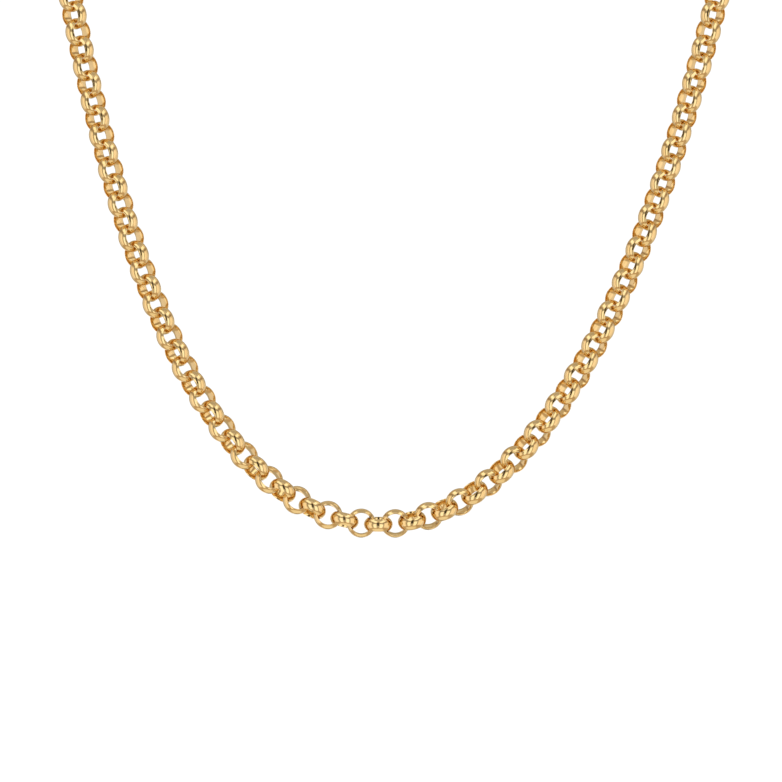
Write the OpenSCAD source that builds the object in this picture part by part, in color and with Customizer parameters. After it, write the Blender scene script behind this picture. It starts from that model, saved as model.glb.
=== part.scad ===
// Rolo chain necklace: wide round links, each threaded through the next a quarter turn round.
// The loop has the form that it has when worn. The front falls in a hanging curve, the sides
// turn back over the shoulders, and the rest goes round the nape to a closed hook clasp.
// Millimetres and degrees. +Z is up, +Y is backwards, and the origin is the seat on the nape.

/* [Link] */
// Outer diameter of a link
link_od = 5.2; // [4.4:0.1:7]
// Width of a link's band
band_w = 2; // [1.5:0.05:2.2]
// Rise of the band's outer dome
dome_out = 0.54; // [0.34:0.02:0.7]
// Rise of the band's inner dome
dome_in = 0.24; // [0.14:0.02:0.34]
// Thickness that is left at the band's two edges
edge_t = 0.1; // [0.06:0.02:0.2]
// Play between neighbouring links, along the chain
link_play = 0.46; // [0.4:0.02:0.8]

/* [Loop] */
// Bend radius of the hanging curve at its lowest point
sag_r = 26.1; // [22:0.1:40]
// Height of the flat front, from its lowest point to the shoulders
front_rise = 95; // [80:1:120]
// Bend radius over each shoulder
shoulder_r = 28; // [26:1:40]
// Angle that the chain turns back over each shoulder
shoulder_turn = 60; // [50:1:75]
// Length that each side gains where the links crowd in the lowest bend
crowding = 0.85; // [0:0.05:1.5]
// Distance that the middle link has slipped from the lowest point, towards the right
slip = 0.65; // [0:0.05:1]

/* [Twist] */
// Twist of each side of the front, most of it in the lowest bend
bend_twist = 33; // [10:1:40]
// Length over which the lowest bend takes up its twist
twist_len = 17; // [14:1:40]
// Twist of each millimetre of the straighter chain
side_twist = 0.11; // [0:0.01:0.2]
// Distance from the lowest point to the place where the links lie square
square_at = -2.4; // [-6:0.2:6]

/* [Jump rings] */
// Outer diameter of a jump ring
jump_od = 5; // [4.8:0.1:6.5]
// Wire of a jump ring
jump_wire = 0.8; // [0.6:0.05:0.9]
// Gap between a jump ring and what it holds
ring_gap = 0.2; // [0.18:0.01:0.3]

/* [Clasp] */
// Radius of the hook's opening at its round end
hook_r = 1.5; // [1.3:0.1:2]
// Thickness of the hook
hook_t = 1.8; // [1.4:0.1:2.4]
// Length of the hook's straight sides
hook_len = 4; // [3.5:0.1:6]
// Diameter of the clasp's shoulder, where the sides meet
hub_d = 2.6; // [2.2:0.1:3.2]
// Radius of the eye's opening
eye_r = 1; // [0.8:0.05:1.3]
// Wire of the eye
eye_wire = 1.1; // [0.8:0.05:1.3]
// Diameter of the lever's knob
knob_d = 1.3; // [1:0.1:1.6]

/* [Hidden] */
GOLD = [0.87, 0.68, 0.32];
ROUND = 48;

// Link: radii of the band's crown, edge and inside, and of the two arcs of its section
crown_r = link_od / 2;
edge_ring_r = crown_r - dome_out;
bore_r = edge_ring_r - dome_in;
out_arc_r = arc_radius(band_w / 2, dome_out - edge_t / 2);
in_arc_r = arc_radius(band_w / 2, dome_in - edge_t / 2);

// Jump ring and clasp: radii to the middle of the wire
jump_r = (jump_od - jump_wire) / 2;
hook_ring_r = hook_r + hook_t / 2;
eye_ring_r = eye_r + eye_wire / 2;
hub_x = hook_len;
eye_x = hub_x + hub_d / 2 + eye_ring_r;

// Distances along the chain: back middle to a jump ring, and on to the last link
clasp_span = hook_r + eye_x + eye_r;
jump_free_r = jump_r - jump_wire / 2 - ring_gap;
jump_reach = clasp_span / 2 + jump_free_r;
end_step = sqrt(pow(jump_free_r, 2) - pow(band_w / 2, 2)) + edge_ring_r - edge_t / 2;

// Front: a catenary, by its length on each side of the lowest point
front_len = sqrt(pow(sag_r + front_rise, 2) - pow(sag_r, 2));
front_slope = atan(front_len / sag_r);

// Shoulder: an arc that starts along the front's end and turns back
shoulder_len = shoulder_r * shoulder_turn * PI / 180;
shoulder_end = [
    front_x(front_len) + shoulder_r * sin(shoulder_turn) * cos(front_slope),
    shoulder_r * (1 - cos(shoulder_turn)),
    front_rise + shoulder_r * sin(shoulder_turn) * sin(front_slope)
];
end_way = [
    cos(front_slope) * cos(shoulder_turn),
    sin(shoulder_turn),
    sin(front_slope) * cos(shoulder_turn)
];

// Nape: an arc in a plane that leans back, which meets its other half behind the neck
nape_lean = atan(end_way.z / end_way.y);
nape_flare = asin(end_way.x);
nape_r = shoulder_end.x / cos(nape_flare);
nape_turn = 90 + nape_flare;
nape_len = nape_r * nape_turn * PI / 180;
nape_depth = nape_r * (1 + sin(nape_flare));

// Bank: the roll about the chain that brings the shoulder's frame square to the nape's plane
shoulder_in = [-sin(front_slope), 0, cos(front_slope)];
shoulder_back = [
    -cos(front_slope) * sin(shoulder_turn),
    cos(shoulder_turn),
    -sin(front_slope) * sin(shoulder_turn)
];
nape_up = [0, -sin(nape_lean), cos(nape_lean)];
nape_bank = atan2(-nape_up * shoulder_back, nape_up * shoulder_in);

// The seat is where the links' inner side meets the nape
seat = [
    0,
    shoulder_end.y + (nape_depth - crown_r) * cos(nape_lean),
    shoulder_end.z + (nape_depth - crown_r) * sin(nape_lean)
];

// Links: the number on each side is even, so that the clasp lies flat on the nape
half_len = front_len + shoulder_len + nape_len;
chain_len = half_len - jump_reach - end_step + crowding;
loose_pitch = 2 * sqrt(pow(edge_ring_r, 2) - pow(band_w / 2, 2)) - link_play;
side_links = 2 * round(chain_len / loose_pitch / 2);
pitch = chain_len / side_links;
crowded_links = 8;

function arc_radius(half_chord, rise) =
    (pow(half_chord, 2) + pow(rise, 2)) / (2 * rise);

function tanh(x) = (exp(2 * x) - 1) / (exp(2 * x) + 1);

// Distance sideways at a length along the front, which is a catenary
function front_x(len) = sag_r * ln((len + sqrt(pow(len, 2) + pow(sag_r, 2))) / sag_r);

// Length along the chain from the lowest point to link k, which is negative on the left
function link_place(k) =
    pitch * k + slip * (1 - abs(k) / side_links) - crowding * tanh(k / crowded_links);

// Roll of a link about the chain, which runs on past the front
function front_roll(place) =
    -bend_twist * tanh((place - square_at) / twist_len) - side_twist * (place - square_at);

// Roll round the nape, which ends square to it at the clasp
function nape_roll(side, len) =
    let (start = front_roll(side * (front_len + shoulder_len)) + nape_bank)
    start + (90 - start) * len / nape_len;

function link_roll(place) =
    let (past = abs(place) - front_len - shoulder_len)
    past < 0 ? front_roll(place) : nape_roll(sign(place), past);

// Placing: X runs along the chain, from the lowest point towards the back

module on_front(len) {
    translate([front_x(len), 0, sqrt(pow(len, 2) + pow(sag_r, 2)) - sag_r])
        rotate([0, -atan(len / sag_r), 0])
            children();
}

module on_arc(radius, angle) {
    translate([radius * sin(angle), radius * (1 - cos(angle)), 0])
        rotate([0, 0, angle])
            children();
}

module on_shoulder(len) {
    on_front(front_len)
        on_arc(shoulder_r, shoulder_turn * len / shoulder_len)
            children();
}

module on_nape(len) {
    on_shoulder(shoulder_len)
        rotate([nape_bank, 0, 0])
            on_arc(nape_r, nape_turn * len / nape_len)
                children();
}

module on_half(len) {
    if (len < front_len) {
        on_front(len) children();
    } else if (len < front_len + shoulder_len) {
        on_shoulder(len - front_len) children();
    } else {
        on_nape(len - front_len - shoulder_len) children();
    }
}

// A negative place is on the left side
module on_loop(place) {
    translate(-seat) {
        if (place < 0) {
            mirror([1, 0, 0]) on_half(-place) children();
        } else {
            on_half(place) children();
        }
    }
}

// Shapes

// Section of a link's band: two arcs between narrow edges
module band_section() {
    intersection() {
        translate([crown_r - out_arc_r, 0]) circle(r = out_arc_r, $fn = 2 * ROUND);
        translate([bore_r + in_arc_r, 0]) circle(r = in_arc_r, $fn = 2 * ROUND);
        translate([0, -band_w / 2]) square([crown_r, band_w]);
    }
}

module link() {
    rotate_extrude($fn = ROUND) band_section();
}

module wire_ring(radius, wire, angle = 360) {
    rotate_extrude(angle = angle, $fn = ROUND)
        translate([radius, 0]) circle(d = wire, $fn = ROUND / 2);
}

// Links from first to last, every second one turned a quarter round
module links(first, last) {
    for (k = [first:last]) {
        on_loop(link_place(k))
            rotate([-link_roll(link_place(k)) - 90 * (abs(k) % 2), 0, 0])
                link();
    }
}

// side is 1 on the right and -1 on the left
module jump_ring(side) {
    on_loop(side * (half_len - jump_reach)) wire_ring(jump_r, jump_wire);
}

// Hook with its round end towards -X and its eye towards +X, lying flat
module hook_clasp() {
    side_lean = atan((hook_ring_r - hub_d / 2 + hook_t / 2) / hub_x);
    rotate([0, 0, 90]) wire_ring(hook_ring_r, hook_t, 180);
    for (y = [-1, 1]) {
        translate([0, y * hook_ring_r, 0])
            rotate([0, 90, -y * side_lean])
                cylinder(d = hook_t, h = hub_x / cos(side_lean), $fn = ROUND / 2);
    }
    translate([hub_x, 0, 0]) sphere(d = hub_d, $fn = ROUND);
    translate([hub_x, 0, 0])
        rotate([0, 90, 0])
            cylinder(d = eye_wire, h = hub_d / 2 + eye_wire / 2, $fn = ROUND / 2);
    translate([eye_x, 0, 0]) wire_ring(eye_ring_r, eye_wire);
    translate([hub_x / 4, hook_ring_r + hook_t / 2, 0]) sphere(d = knob_d, $fn = ROUND);
}

// Sub-parts

module chain_left() {
    color(GOLD) links(-side_links, -1);
}

module chain_right() {
    color(GOLD) links(0, side_links);
}

module jump_ring_left() {
    color(GOLD) jump_ring(-1);
}

module jump_ring_right() {
    color(GOLD) jump_ring(1);
}

module clasp() {
    color(GOLD)
        on_loop(half_len)
            rotate([-90, 0, 0])
                translate([(hook_r - eye_x - eye_r) / 2, 0, 0])
                    hook_clasp();
}

chain_left();
chain_right();
jump_ring_left();
jump_ring_right();
clasp();
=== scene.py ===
"""Rolo chain necklace in polished yellow gold, hung as worn in a white studio.

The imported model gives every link's place, axis and band. This scene makes each link again as
a smooth domed band, makes the jump rings and the hook clasp again as soft-edged metal, and
gives all of them their gold. Everything is in metres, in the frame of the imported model.
"""
import logging
import math
from dataclasses import dataclass, field
from enum import Enum

import bpy
import numpy as np
from mathutils import Matrix, Vector


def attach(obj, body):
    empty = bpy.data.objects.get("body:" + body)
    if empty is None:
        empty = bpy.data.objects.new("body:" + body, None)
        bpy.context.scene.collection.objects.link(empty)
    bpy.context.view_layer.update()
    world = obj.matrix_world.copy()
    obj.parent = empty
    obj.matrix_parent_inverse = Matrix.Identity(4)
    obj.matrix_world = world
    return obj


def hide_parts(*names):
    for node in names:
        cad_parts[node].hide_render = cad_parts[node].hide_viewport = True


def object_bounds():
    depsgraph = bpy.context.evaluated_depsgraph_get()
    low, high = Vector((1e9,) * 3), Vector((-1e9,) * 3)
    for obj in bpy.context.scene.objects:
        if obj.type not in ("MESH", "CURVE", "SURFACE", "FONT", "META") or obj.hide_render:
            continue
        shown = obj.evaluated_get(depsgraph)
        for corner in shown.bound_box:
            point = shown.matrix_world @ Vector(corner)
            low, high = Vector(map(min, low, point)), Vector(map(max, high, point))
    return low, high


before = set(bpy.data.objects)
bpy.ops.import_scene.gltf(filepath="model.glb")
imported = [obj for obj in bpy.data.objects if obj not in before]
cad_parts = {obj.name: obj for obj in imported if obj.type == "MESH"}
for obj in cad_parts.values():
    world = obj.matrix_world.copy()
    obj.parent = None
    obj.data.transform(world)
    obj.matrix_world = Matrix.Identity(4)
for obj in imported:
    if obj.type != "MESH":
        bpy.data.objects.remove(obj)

CAD_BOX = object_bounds()

LOG = logging.getLogger("necklace")
MM = 0.001
WHITE = (1.0, 1.0, 1.0, 1.0)

# Sine of the angle within which two directions count as one
SAME_WAY = 0.1


class Side(Enum):
    """The two sides of the loop."""

    LEFT = "left"
    RIGHT = "right"


class Slot(Enum):
    """The record's material slots."""

    CHAIN = "chain_gold"
    CLASP = "clasp_gold"


@dataclass(frozen=True)
class Ring:
    """A ring-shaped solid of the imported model, as measured on its mesh.

    Attributes:
        centre: The middle of the ring.
        axis: The direction through its hole.
        crown_r: Its outer radius.
        bore_r: Its inner radius.
        width: Its size along the axis.
    """

    centre: np.ndarray
    axis: np.ndarray
    crown_r: float
    bore_r: float
    width: float


class PackedRings:
    """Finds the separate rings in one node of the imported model."""

    WELD = 1e-6

    def __init__(self, node: str) -> None:
        """Reads the node's mesh.

        Args:
            node: The name of the node.
        """
        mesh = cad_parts[node].data
        mesh.calc_loop_triangles()
        points = np.empty(len(mesh.vertices) * 3)
        mesh.vertices.foreach_get("co", points)
        corners = np.empty(len(mesh.loop_triangles) * 3, dtype=np.int64)
        mesh.loop_triangles.foreach_get("vertices", corners)
        steps = np.round(points.reshape(-1, 3) / self.WELD).astype(np.int64)
        _, first, same = np.unique(steps, axis=0, return_index=True, return_inverse=True)
        self.points = points.reshape(-1, 3)[first]
        self.triangles = same.reshape(-1)[corners].reshape(-1, 3)

    def labels(self) -> np.ndarray:
        """Gives every point the lowest point number of the solid that it belongs to.

        Returns:
            One number for each point.
        """
        label = np.arange(len(self.points))
        while True:
            lowest = label[self.triangles].min(axis=1)
            new = label.copy()
            for corner in range(3):
                np.minimum.at(new, self.triangles[:, corner], lowest)
            new = new[new]
            if np.array_equal(new, label):
                return label
            label = new

    def rings(self) -> list[Ring]:
        """Measures each solid as a ring.

        Returns:
            The rings, in the order in which they follow each other.
        """
        label = self.labels()
        of_triangle = label[self.triangles[:, 0]]
        found = [self.measure(label == name, of_triangle == name) for name in np.unique(label)]
        return self.in_order(found)

    def measure(self, mine: np.ndarray, faces: np.ndarray) -> Ring:
        """Measures one ring.

        Args:
            mine: Which points belong to it.
            faces: Which triangles belong to it.

        Returns:
            The ring.
        """
        a, b, c = (self.points[self.triangles[faces, k]] for k in range(3))
        base = self.points[mine].mean(axis=0)
        volumes = np.einsum("ij,ij->i", a - base, np.cross(b - base, c - base)) / 6
        centre = base + (volumes[:, None] * (a + b + c - 3 * base) / 4).sum(axis=0) / volumes.sum()
        areas = np.linalg.norm(np.cross(b - a, c - a), axis=1)
        middles = (a + b + c) / 3 - centre
        spread = np.einsum("i,ij,ik->jk", areas, middles, middles)
        axis = np.linalg.eigh(spread)[1][:, 0]
        away = self.points[mine] - centre
        along = away @ axis
        radii = np.linalg.norm(away - np.outer(along, axis), axis=1)
        return Ring(centre, axis, radii.max(), radii.min(), np.ptp(along))

    @staticmethod
    def in_order(rings: list[Ring]) -> list[Ring]:
        """Sorts rings along their chain, from the end that is nearest the nape.

        Args:
            rings: The rings in any order.

        Returns:
            The same rings in order.
        """
        left = sorted(rings, key=lambda ring: -ring.centre[1])
        row = [left.pop(0)]
        while left:
            here = row[-1].centre
            left.sort(key=lambda ring: float(np.linalg.norm(ring.centre - here)))
            row.append(left.pop(0))
        return row


@dataclass
class MeshPile:
    """Closed shells of quads that become one object.

    Attributes:
        points: The shells' points, one array for each shell.
        quads: The shells' faces, one array for each shell.
        count: How many points there are so far.
    """

    points: list[np.ndarray] = field(default_factory=list)
    quads: list[np.ndarray] = field(default_factory=list)
    count: int = 0

    def add_sweep(self, grid: np.ndarray) -> None:
        """Adds a closed section that runs round a closed path.

        Args:
            grid: Points by step along the path, step round the section and coordinate.
        """
        along, around = grid.shape[:2]
        number = np.arange(along * around).reshape(along, around) + self.count
        ahead = np.roll(number, -1, axis=0)
        quads = np.stack(
            [number, ahead, np.roll(ahead, -1, axis=1), np.roll(number, -1, axis=1)], axis=-1
        )
        self.points.append(grid.reshape(-1, 3))
        self.quads.append(quads.reshape(-1, 4))
        self.count += along * around

    def to_object(self, name: str) -> bpy.types.Object:
        """Makes the object.

        Args:
            name: The name of the object.

        Returns:
            The smooth-shaded object, linked to the scene.
        """
        points = np.concatenate(self.points)
        quads = np.concatenate(self.quads)
        mesh = bpy.data.meshes.new(name)
        mesh.from_pydata(points.tolist(), [], quads.tolist())
        mesh.shade_smooth()
        mesh.update()
        piece = bpy.data.objects.new(name, mesh)
        bpy.context.scene.collection.objects.link(piece)
        return piece


@dataclass(frozen=True)
class BandSection:
    """Section of a link's band: a domed outside and inside between narrow round edges.

    Attributes:
        crown_r: Radius to the crest of the outer dome.
        bore_r: Radius to the crest of the inner dome.
        edge_ring_r: Radius to the middle of the edges.
        width: Width of the band.
        edge_t: Thickness of the edges.
        outer_steps: Points on the outer dome.
        inner_steps: Points on the inner dome.
        edge_steps: Points round each edge.
    """

    crown_r: float
    bore_r: float
    edge_ring_r: float
    width: float
    edge_t: float
    outer_steps: int = 9
    inner_steps: int = 6
    edge_steps: int = 3

    def dome(self, crest_r: float, end_r: float, steps: int) -> np.ndarray:
        """Makes one dome, with its points closer together towards the edges.

        Args:
            crest_r: Radius at the middle of the band.
            end_r: Radius at the two edges.
            steps: The number of points.

        Returns:
            Radius and place across the band for each point.
        """
        half = self.width / 2 - self.edge_t / 2
        rise = crest_r - end_r
        curve_r = (half**2 + rise**2) / (2 * abs(rise))
        reach = math.asin(half / curve_r)
        angle = reach * np.sin(np.linspace(-math.pi / 2, math.pi / 2, steps))
        radius = crest_r - math.copysign(curve_r, rise) * (1 - np.cos(angle))
        return np.stack([radius, curve_r * np.sin(angle)], axis=1)

    def edge(self, way: int) -> np.ndarray:
        """Makes the round of one edge, from the outside to the inside.

        Args:
            way: 1 for the edge ahead on the axis and -1 for the other.

        Returns:
            Radius and place across the band for each point.
        """
        angle = np.linspace(0, math.pi, self.edge_steps + 2)[1:-1]
        radius = self.edge_ring_r + self.edge_t / 2 * np.cos(angle)
        place = way * (self.width / 2 - self.edge_t / 2 + self.edge_t / 2 * np.sin(angle))
        return np.stack([radius, place], axis=1)

    def outline(self) -> np.ndarray:
        """Makes the closed section.

        Returns:
            Radius and place across the band for each point.
        """
        outside = self.dome(self.crown_r, self.edge_ring_r + self.edge_t / 2, self.outer_steps)
        inside = self.dome(self.bore_r, self.edge_ring_r - self.edge_t / 2, self.inner_steps)
        return np.concatenate([outside, self.edge(1), inside[::-1], self.edge(-1)[::-1]])


def sweep_round(ring: Ring, outline: np.ndarray, steps: int) -> np.ndarray:
    """Runs a section round a ring.

    Args:
        ring: The ring that gives the centre and the axis.
        outline: Radius and place along the axis for each point of the section.
        steps: The number of steps round the ring.

    Returns:
        Points by step round the ring, step round the section and coordinate.
    """
    side = np.cross(ring.axis, [0.0, 1.0, 0.0])
    if np.linalg.norm(side) < SAME_WAY:
        side = np.cross(ring.axis, [1.0, 0.0, 0.0])
    side /= np.linalg.norm(side)
    up = np.cross(ring.axis, side)
    angle = np.linspace(0, 2 * math.pi, steps, endpoint=False)[:, None]
    out = np.cos(angle) * side + np.sin(angle) * up
    radius = outline[None, :, 0, None]
    place = outline[None, :, 1, None]
    return ring.centre + radius * out[:, None, :] + place * ring.axis


@dataclass(frozen=True)
class PolishedGold:
    """Polished yellow gold with the faint unevenness of tumbled metal.

    Attributes:
        name: The name of the material.
        pale: Colour where the metal is palest.
        deep: Colour where it is deepest.
        cloud: Size of the patches of colour.
        cloud_detail: Layers of finer patches that lie on them.
        cloud_span: Strengths of a patch at which the metal is deepest and palest.
        gloss: Roughness of the best polished places.
        haze: Roughness of the dullest places.
        haze_span: Strengths of a patch at which the metal is best polished and dullest.
        dent: Size of the dents that tumbling leaves.
        dent_detail: Layers of finer dents that lie on them.
        dent_depth: Depth of those dents.
    """

    name: str
    pale: tuple[float, float, float] = (0.895, 0.668, 0.338)
    deep: tuple[float, float, float] = (0.84, 0.607, 0.28)
    cloud: float = 2.2 * MM
    cloud_detail: float = 3.0
    cloud_span: tuple[float, float] = (0.35, 0.65)
    gloss: float = 0.07
    haze: float = 0.16
    haze_span: tuple[float, float] = (0.3, 0.7)
    dent: float = 0.5 * MM
    dent_detail: float = 1.0
    dent_depth: float = 0.004 * MM

    def material(self) -> bpy.types.Material:
        """Makes the material, or finds it if it is already made.

        Returns:
            The material.
        """
        found = bpy.data.materials.get(self.name)
        if found:
            return found
        made = bpy.data.materials.new(self.name)
        made.use_nodes = True
        nodes = made.node_tree.nodes
        link = made.node_tree.links.new
        shader = nodes["Principled BSDF"]
        shader.inputs["Metallic"].default_value = 1.0
        place = nodes.new("ShaderNodeTexCoord")

        clouds = nodes.new("ShaderNodeTexNoise")
        clouds.inputs["Scale"].default_value = 1 / self.cloud
        clouds.inputs["Detail"].default_value = self.cloud_detail
        tint = nodes.new("ShaderNodeValToRGB")
        stops = tint.color_ramp.elements
        for stop, strength, colour in zip(stops, self.cloud_span, (self.deep, self.pale)):
            stop.position = strength
            stop.color = (*colour, 1.0)
        link(place.outputs["Object"], clouds.inputs["Vector"])
        link(clouds.outputs["Fac"], tint.inputs["Fac"])
        link(tint.outputs["Color"], shader.inputs["Base Color"])

        dull = nodes.new("ShaderNodeMapRange")
        dull.inputs["From Min"].default_value = self.haze_span[0]
        dull.inputs["From Max"].default_value = self.haze_span[1]
        dull.inputs["To Min"].default_value = self.gloss
        dull.inputs["To Max"].default_value = self.haze
        link(clouds.outputs["Fac"], dull.inputs["Value"])
        link(dull.outputs["Result"], shader.inputs["Roughness"])

        dents = nodes.new("ShaderNodeTexNoise")
        dents.inputs["Scale"].default_value = 1 / self.dent
        dents.inputs["Detail"].default_value = self.dent_detail
        relief = nodes.new("ShaderNodeBump")
        relief.inputs["Strength"].default_value = 1.0
        relief.inputs["Distance"].default_value = self.dent_depth
        link(place.outputs["Object"], dents.inputs["Vector"])
        link(dents.outputs["Fac"], relief.inputs["Height"])
        link(relief.outputs["Normal"], shader.inputs["Normal"])
        return made


def dress(piece: bpy.types.Object, finish: PolishedGold, slot: Slot, *nodes: str) -> None:
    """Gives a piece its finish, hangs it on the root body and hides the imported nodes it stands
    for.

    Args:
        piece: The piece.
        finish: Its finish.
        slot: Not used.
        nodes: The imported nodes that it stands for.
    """
    piece.data.materials.clear()
    piece.data.materials.append(finish.material())
    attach(piece, "root")
    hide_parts(*nodes)
    LOG.info("%s: %d points", piece.name, len(piece.data.vertices))


@dataclass
class RoloChain:
    """The links of one side of the chain.

    Attributes:
        side: Which side of the loop.
        finish: Their gold.
        wider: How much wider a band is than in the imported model, which keeps links apart.
        bore_closer: How much closer the inner crest is to the axis.
        dome_out: Rise of the outer dome.
        edge_t: Thickness of the band's edges.
        ring_steps: Steps round a link.
        tilt_spread: How far links lie from their ideal tilt, as a standard deviation.
        seed: Seed of those tilts.
    """

    side: Side
    finish: PolishedGold
    wider: float = 0.2 * MM
    bore_closer: float = 0.02 * MM
    dome_out: float = 0.6 * MM
    edge_t: float = 0.08 * MM
    ring_steps: int = 44
    tilt_spread: float = math.radians(0.7)
    seed: int = 11

    @property
    def node(self) -> str:
        """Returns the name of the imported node."""
        return f"chain_{self.side.value}"

    def section(self, rings: list[Ring]) -> BandSection:
        """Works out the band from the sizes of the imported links.

        Args:
            rings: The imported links.

        Returns:
            The section.
        """
        crown_r = float(np.median([ring.crown_r for ring in rings]))
        bore_r = float(np.median([ring.bore_r for ring in rings]))
        width = float(np.median([ring.width for ring in rings]))
        return BandSection(
            crown_r=crown_r,
            bore_r=bore_r - self.bore_closer,
            edge_ring_r=crown_r - self.dome_out,
            width=width + self.wider,
            edge_t=self.edge_t,
        )

    def build(self) -> bpy.types.Object:
        """Builds and dresses the links.

        Returns:
            The links as one piece.
        """
        rings = PackedRings(self.node).rings()
        outline = self.section(rings).outline()
        chance = np.random.default_rng(self.seed + len(self.side.value))
        pile = MeshPile()
        for ring in rings:
            axis = ring.axis + chance.normal(0.0, self.tilt_spread, 3)
            tilted = Ring(
                ring.centre, axis / np.linalg.norm(axis), ring.crown_r, ring.bore_r, ring.width
            )
            pile.add_sweep(sweep_round(tilted, outline, self.ring_steps))
        piece = pile.to_object(f"links_{self.side.value}")
        dress(piece, self.finish, Slot.CHAIN, self.node)
        LOG.info("%s: %d links", piece.name, len(rings))
        return piece


@dataclass
class JumpRing:
    """The round wire ring between one side of the chain and the clasp.

    Attributes:
        side: Which side of the loop.
        finish: Its gold.
        ring_steps: Steps round the ring.
        wire_steps: Steps round the wire.
    """

    side: Side
    finish: PolishedGold
    ring_steps: int = 96
    wire_steps: int = 32

    def build(self) -> bpy.types.Object:
        """Builds and dresses the ring.

        Returns:
            The ring.
        """
        node = f"jump_ring_{self.side.value}"
        ring = PackedRings(node).rings()[0]
        wire_r = (ring.crown_r - ring.bore_r) / 2
        angle = np.linspace(0, 2 * math.pi, self.wire_steps, endpoint=False)
        middle_r = (ring.crown_r + ring.bore_r) / 2
        outline = np.stack([middle_r + wire_r * np.cos(angle), wire_r * np.sin(angle)], axis=1)
        pile = MeshPile()
        pile.add_sweep(sweep_round(ring, outline, self.ring_steps))
        piece = pile.to_object(f"{node}_wire")
        dress(piece, self.finish, Slot.CLASP, node)
        return piece


@dataclass
class HookClasp:
    """The hook clasp as one cast piece, with its joins melted together.

    Attributes:
        finish: Its gold.
        grain: Size of the new mesh's faces.
        melt_turns: Turns of smoothing that round the joins.
        melt: Strength of each turn.
    """

    finish: PolishedGold
    grain: float = 0.08 * MM
    melt_turns: int = 12
    melt: float = 0.5

    def build(self) -> bpy.types.Object:
        """Builds and dresses the clasp.

        Returns:
            The clasp.
        """
        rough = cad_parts["clasp"]
        piece = bpy.data.objects.new("clasp_cast", rough.data.copy())
        bpy.context.scene.collection.objects.link(piece)
        skin = piece.modifiers.new("skin", "REMESH")
        skin.mode = "VOXEL"
        skin.voxel_size = self.grain
        soft = piece.modifiers.new("melt", "SMOOTH")
        soft.factor = self.melt
        soft.iterations = self.melt_turns
        shaped = piece.evaluated_get(bpy.context.evaluated_depsgraph_get())
        mesh = bpy.data.meshes.new_from_object(shaped)
        piece.modifiers.clear()
        piece.data = mesh
        mesh.shade_smooth()
        dress(piece, self.finish, Slot.CLASP, "clasp")
        return piece


class Cloth(Enum):
    """What the light tent is made of, with the brightness of each in red, green and blue."""

    SKYLIGHT = (1.42, 1.46, 1.42)
    WINDOW = (1.37, 1.39, 1.37)
    CREAM = (1.16, 1.07, 0.97)
    IVORY = (0.99, 0.93, 0.81)
    PEARL = (0.87, 0.82, 0.81)
    GAUZE = (0.7, 0.67, 0.62)
    LINEN = (0.57, 0.49, 0.38)
    ASH = (0.52, 0.49, 0.45)
    SAND = (0.6, 0.45, 0.32)
    AMBER = (0.54, 0.37, 0.21)
    KHAKI = (0.44, 0.38, 0.26)
    SHADE = (0.42, 0.4, 0.37)
    POST = (0.36, 0.34, 0.3)
    BROWN = (0.34, 0.25, 0.2)
    CORNER = (0.17, 0.17, 0.19)
    LENS = (0.04, 0.035, 0.03)


@dataclass(frozen=True)
class Panel:
    """A part of the light tent, as seen from the necklace.

    Attributes:
        name: What it is.
        turn: Directions of its two sides, from the camera towards the right, in degrees.
        rise: Directions of its lower and upper edge above the horizon, in degrees.
        cloth: What it is made of.
        lean: How much its edges rise for each degree of turn.
        soft: How soft its edges are, in degrees.
    """

    name: str
    turn: tuple[float, float]
    rise: tuple[float, float]
    cloth: Cloth
    lean: float = 0.0
    soft: float = 1.2

    def cover(self, turn: np.ndarray, rise: np.ndarray) -> np.ndarray:
        """Works out how much of the cloth the panel covers in some directions.

        Args:
            turn: The directions' turns.
            rise: Their rises.

        Returns:
            0 outside the panel, 1 on it, and between them at its edges.
        """
        half = (self.turn[1] - self.turn[0]) / 2
        across = (turn - sum(self.turn) / 2 + 180) % 360 - 180
        height = rise - self.lean * across
        inside = self.edge(height - self.rise[0]) * self.edge(self.rise[1] - height)
        return inside * self.edge(across + half) * self.edge(half - across)

    def edge(self, depth: np.ndarray) -> np.ndarray:
        """Returns how much the panel covers at a depth inside one of its edges."""
        return (1 + np.tanh(depth / self.soft / 2)) / 2


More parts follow.
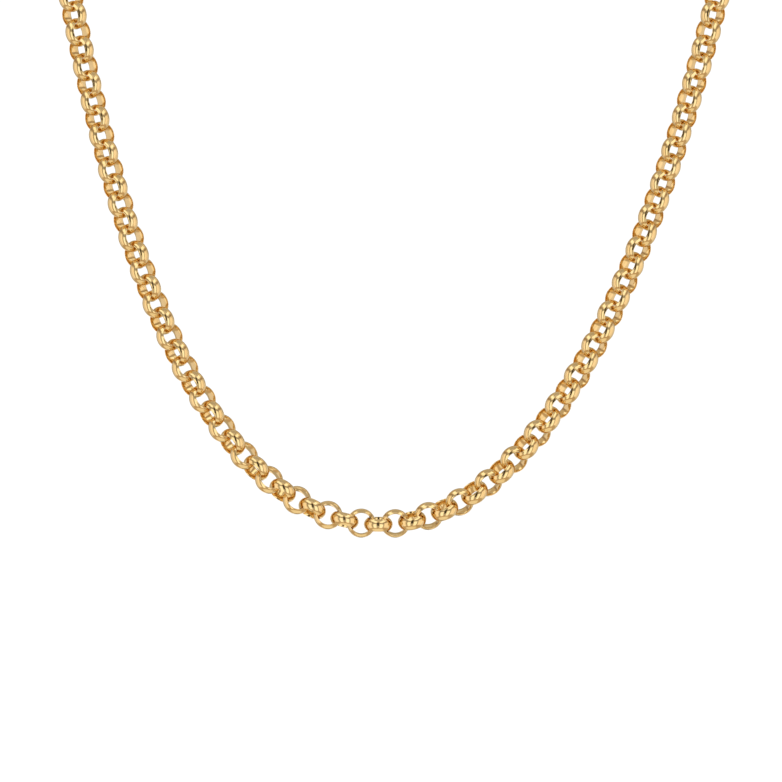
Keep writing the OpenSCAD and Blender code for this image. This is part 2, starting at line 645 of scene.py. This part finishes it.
@dataclass
class Studio:
    """A light tent that only the metal sees, over a plain white floor.

    Attributes:
        middle: The point that the tent surrounds.
        tent_r: Radius of the tent.
        tent_step: Size of its faces in degrees.
        floor_drop: How far the floor is below the necklace.
        floor_r: Radius of the floor.
        floor_steps: Steps round the floor's rim.
        floor_grey: Share of the light that the floor sends back.
        floor_rough: Roughness of the floor.
        floor_shine: Brightness that the floor has by itself.
        sky_shine: Brightness of everything beyond the floor.
        cloth: What lies between the panels.
        panels: The panels, each over the ones before it.
    """

    middle: tuple[float, float, float] = (0.0, -0.073, -0.11)
    tent_r: float = 0.7
    tent_step: float = 2.0
    floor_drop: float = 0.09
    floor_r: float = 9.0
    floor_steps: int = 96
    floor_grey: float = 0.5
    floor_rough: float = 0.9
    floor_shine: float = 0.95
    sky_shine: float = 1.05
    cloth: Cloth = Cloth.LINEN
    panels: tuple[Panel, ...] = (
        Panel("ceiling", (-210, 210), (66, 120), Cloth.ASH),
        Panel("ground", (-210, 210), (-120, -60), Cloth.IVORY),
        Panel("skirt_left", (-140, -62), (-61, -44), Cloth.SAND, lean=0.24),
        Panel("skirt_front", (-62, 45), (-57, -46), Cloth.AMBER),
        Panel("skirt_right", (45, 118), (-61, -44), Cloth.SAND, lean=-0.24),
        Panel("back", (150, 210), (-57, 38), Cloth.KHAKI),
        Panel("back_window_left", (157, 172), (-46, 14), Cloth.CREAM),
        Panel("back_window_right", (188, 203), (-46, 14), Cloth.CREAM),
        Panel("back_lamp", (152, 208), (42, 56), Cloth.GAUZE),
        Panel("left_back", (-150, -122), (-46, 22), Cloth.ASH),
        Panel("left_far", (-122, -87), (-40, 24), Cloth.PEARL),
        Panel("left_near", (-87, -57), (-43, 24), Cloth.CREAM),
        Panel("left_window", (-41, -13), (-47, 11), Cloth.WINDOW),
        Panel("left_post", (-49, -42), (-42, 14), Cloth.POST),
        Panel("right_window", (11, 40), (-47, 11), Cloth.WINDOW),
        Panel("right_near", (48, 76), (-37, 23), Cloth.CREAM),
        Panel("right_post", (41, 48), (-42, 14), Cloth.POST),
        Panel("right_mid", (76, 97), (-37, 24), Cloth.CREAM),
        Panel("right_far", (97, 124), (-37, 28), Cloth.PEARL),
        Panel("right_back", (124, 150), (-34, 6), Cloth.GAUZE),
        Panel("left_arch_far", (-142, -97), (22, 34), Cloth.BROWN, lean=0.2),
        Panel("left_arch", (-97, -58), (32, 40), Cloth.BROWN, lean=-0.1),
        Panel("left_corner", (-58, -38), (18, 28), Cloth.CORNER, lean=-0.9),
        Panel("right_corner", (30, 50), (11, 22), Cloth.CORNER, lean=0.3),
        Panel("right_arch", (50, 73), (25, 34), Cloth.BROWN, lean=0.4),
        Panel("right_arch_far", (73, 120), (30, 39), Cloth.BROWN, lean=-0.05),
        Panel("right_arch_back", (120, 150), (8, 27), Cloth.SHADE),
        Panel("left_brow", (-42, -13), (13, 30), Cloth.SHADE),
        Panel("right_brow", (10, 42), (13, 30), Cloth.SHADE),
        Panel("left_skylight", (-106, -23), (44, 64), Cloth.SKYLIGHT, lean=-0.12),
        Panel("right_skylight", (25, 87), (42, 62), Cloth.SKYLIGHT, lean=0.27),
        Panel("right_skylight_far", (86, 137), (42, 57), Cloth.IVORY),
        Panel("left_lamp", (-42, -13), (31, 54), Cloth.WINDOW),
        Panel("right_lamp", (12, 42), (31, 54), Cloth.WINDOW),
        Panel("front_skylight", (-27, 24), (56, 74), Cloth.GAUZE),
        Panel("lens_foot", (-14, 9), (-46, -14), Cloth.ASH),
        Panel("lens_gap", (-13, 7), (-16, 37), Cloth.LENS),
    )

    def build(self) -> None:
        """Builds the tent, the floor and the white surroundings."""
        self.tent()
        self.floor()
        self.surroundings()

    def light(self, turn: np.ndarray, rise: np.ndarray) -> np.ndarray:
        """Works out how the tent shines in some directions.

        Args:
            turn: The directions' turns.
            rise: Their rises.

        Returns:
            Red, green and blue for each direction.
        """
        glow = np.ones(turn.shape + (3,)) * self.cloth.value
        for panel in self.panels:
            cover = panel.cover(turn, rise)[..., None]
            glow = glow * (1 - cover) + cover * np.array(panel.cloth.value)
        return glow

    def tent(self) -> None:
        """Builds the tent as a glowing sphere round the necklace."""
        turns = np.linspace(-180, 180, int(360 / self.tent_step) + 1)
        rises = np.linspace(-90, 90, int(180 / self.tent_step) + 1)
        turn, rise = np.meshgrid(turns, rises, indexing="ij")
        level = np.cos(np.radians(rise))
        ahead = np.radians(turn)
        points = np.stack(
            [np.sin(ahead) * level, -np.cos(ahead) * level, np.sin(np.radians(rise))], axis=-1
        )
        number = np.arange(turn.size).reshape(turn.shape)
        quads = np.stack(
            [number[:-1, :-1], number[:-1, 1:], number[1:, 1:], number[1:, :-1]], axis=-1
        )
        mesh = bpy.data.meshes.new("tent")
        places = self.tent_r * points.reshape(-1, 3)
        mesh.from_pydata(places.tolist(), [], quads.reshape(-1, 4).tolist())
        glow = mesh.color_attributes.new("glow", "FLOAT_COLOR", "POINT")
        colours = np.ones((turn.size, 4))
        colours[:, :3] = self.light(turn, rise).reshape(-1, 3)
        glow.data.foreach_set("color", colours.ravel())
        tent = bpy.data.objects.new("tent", mesh)
        tent.location = self.middle
        tent.visible_camera = False
        mesh.materials.append(self.cloth_material("glow"))
        bpy.context.scene.collection.objects.link(tent)

    @staticmethod
    def cloth_material(attribute: str) -> bpy.types.Material:
        """Makes a material that only shines, with the colours painted on a mesh.

        Args:
            attribute: The name of the mesh's colours.

        Returns:
            The material.
        """
        made = bpy.data.materials.new("tent_cloth")
        made.use_nodes = True
        nodes = made.node_tree.nodes
        nodes.remove(nodes["Principled BSDF"])
        painted = nodes.new("ShaderNodeAttribute")
        painted.attribute_name = attribute
        shine = nodes.new("ShaderNodeEmission")
        target = nodes["Material Output"].inputs["Surface"]
        made.node_tree.links.new(painted.outputs["Color"], shine.inputs["Color"])
        made.node_tree.links.new(shine.outputs["Emission"], target)
        return made

    def floor(self) -> None:
        """Builds the plain white floor."""
        bpy.ops.mesh.primitive_circle_add(
            vertices=self.floor_steps, radius=self.floor_r, fill_type="NGON"
        )
        floor = bpy.context.object
        floor.name = "floor"
        lowest = CAD_BOX[0][2]
        floor.location = (0.0, 0.0, lowest - self.floor_drop)
        floor.visible_glossy = False
        paint = bpy.data.materials.new("floor_paint")
        paint.use_nodes = True
        shader = paint.node_tree.nodes["Principled BSDF"]
        grey = (self.floor_grey, self.floor_grey, self.floor_grey, 1.0)
        shader.inputs["Base Color"].default_value = grey
        shader.inputs["Roughness"].default_value = self.floor_rough
        shader.inputs["Emission Color"].default_value = WHITE
        shader.inputs["Emission Strength"].default_value = self.floor_shine
        floor.data.materials.append(paint)

    def surroundings(self) -> None:
        """Makes everything beyond the floor white."""
        world = bpy.data.worlds.new("white_studio")
        world.use_nodes = True
        sky = world.node_tree.nodes["Background"]
        sky.inputs["Color"].default_value = WHITE
        sky.inputs["Strength"].default_value = self.sky_shine
        bpy.context.scene.world = world
        bpy.context.scene.view_settings.view_transform = "Standard"


@dataclass
class PhotoCamera:
    """A long lens straight in front of the chain, as in the photograph.

    Attributes:
        picture: Width and height of the picture in pixels.
        pixel: Real size of a pixel at the chain.
        centre: What the middle of the picture shows, sideways and upwards.
        roll: How far the chain's right side hangs lower in the picture.
        lens: Focal length in millimetres.
        sensor: Width of the sensor in millimetres.
    """

    picture: int = 782
    pixel: float = 0.1783 * MM
    centre: tuple[float, float] = (2.14 * MM, -128.07 * MM)
    roll: float = math.radians(1.86)
    lens: float = 800.0
    sensor: float = 36.0

    def place(self) -> None:
        """Makes the camera and sets it as the scene's own."""
        data = bpy.data.cameras.new("photo_camera")
        data.lens = self.lens
        data.sensor_width = self.sensor
        camera = bpy.data.objects.new("photo_camera", data)
        bpy.context.scene.collection.objects.link(camera)
        distance = self.picture * self.pixel * self.lens / self.sensor
        across = Vector((math.cos(self.roll), 0.0, math.sin(self.roll)))
        up = Vector((-math.sin(self.roll), 0.0, math.cos(self.roll)))
        turned = Matrix((across, up, across.cross(up))).transposed()
        nearest = CAD_BOX[0][1]
        spot = Vector((self.centre[0], nearest - distance, self.centre[1]))
        camera.matrix_world = Matrix.Translation(spot) @ turned.to_4x4()
        bpy.context.scene.camera = camera


def main() -> None:
    """Builds the studio and the necklace."""
    logging.basicConfig(level=logging.INFO, format="%(message)s")
    PhotoCamera().place()
    Studio().build()
    gold = PolishedGold(name="yellow_gold")
    for side in Side:
        RoloChain(side, gold).build()
    for side in Side:
        JumpRing(side, gold).build()
    HookClasp(gold).build()


if __name__ == "__main__":
    main()
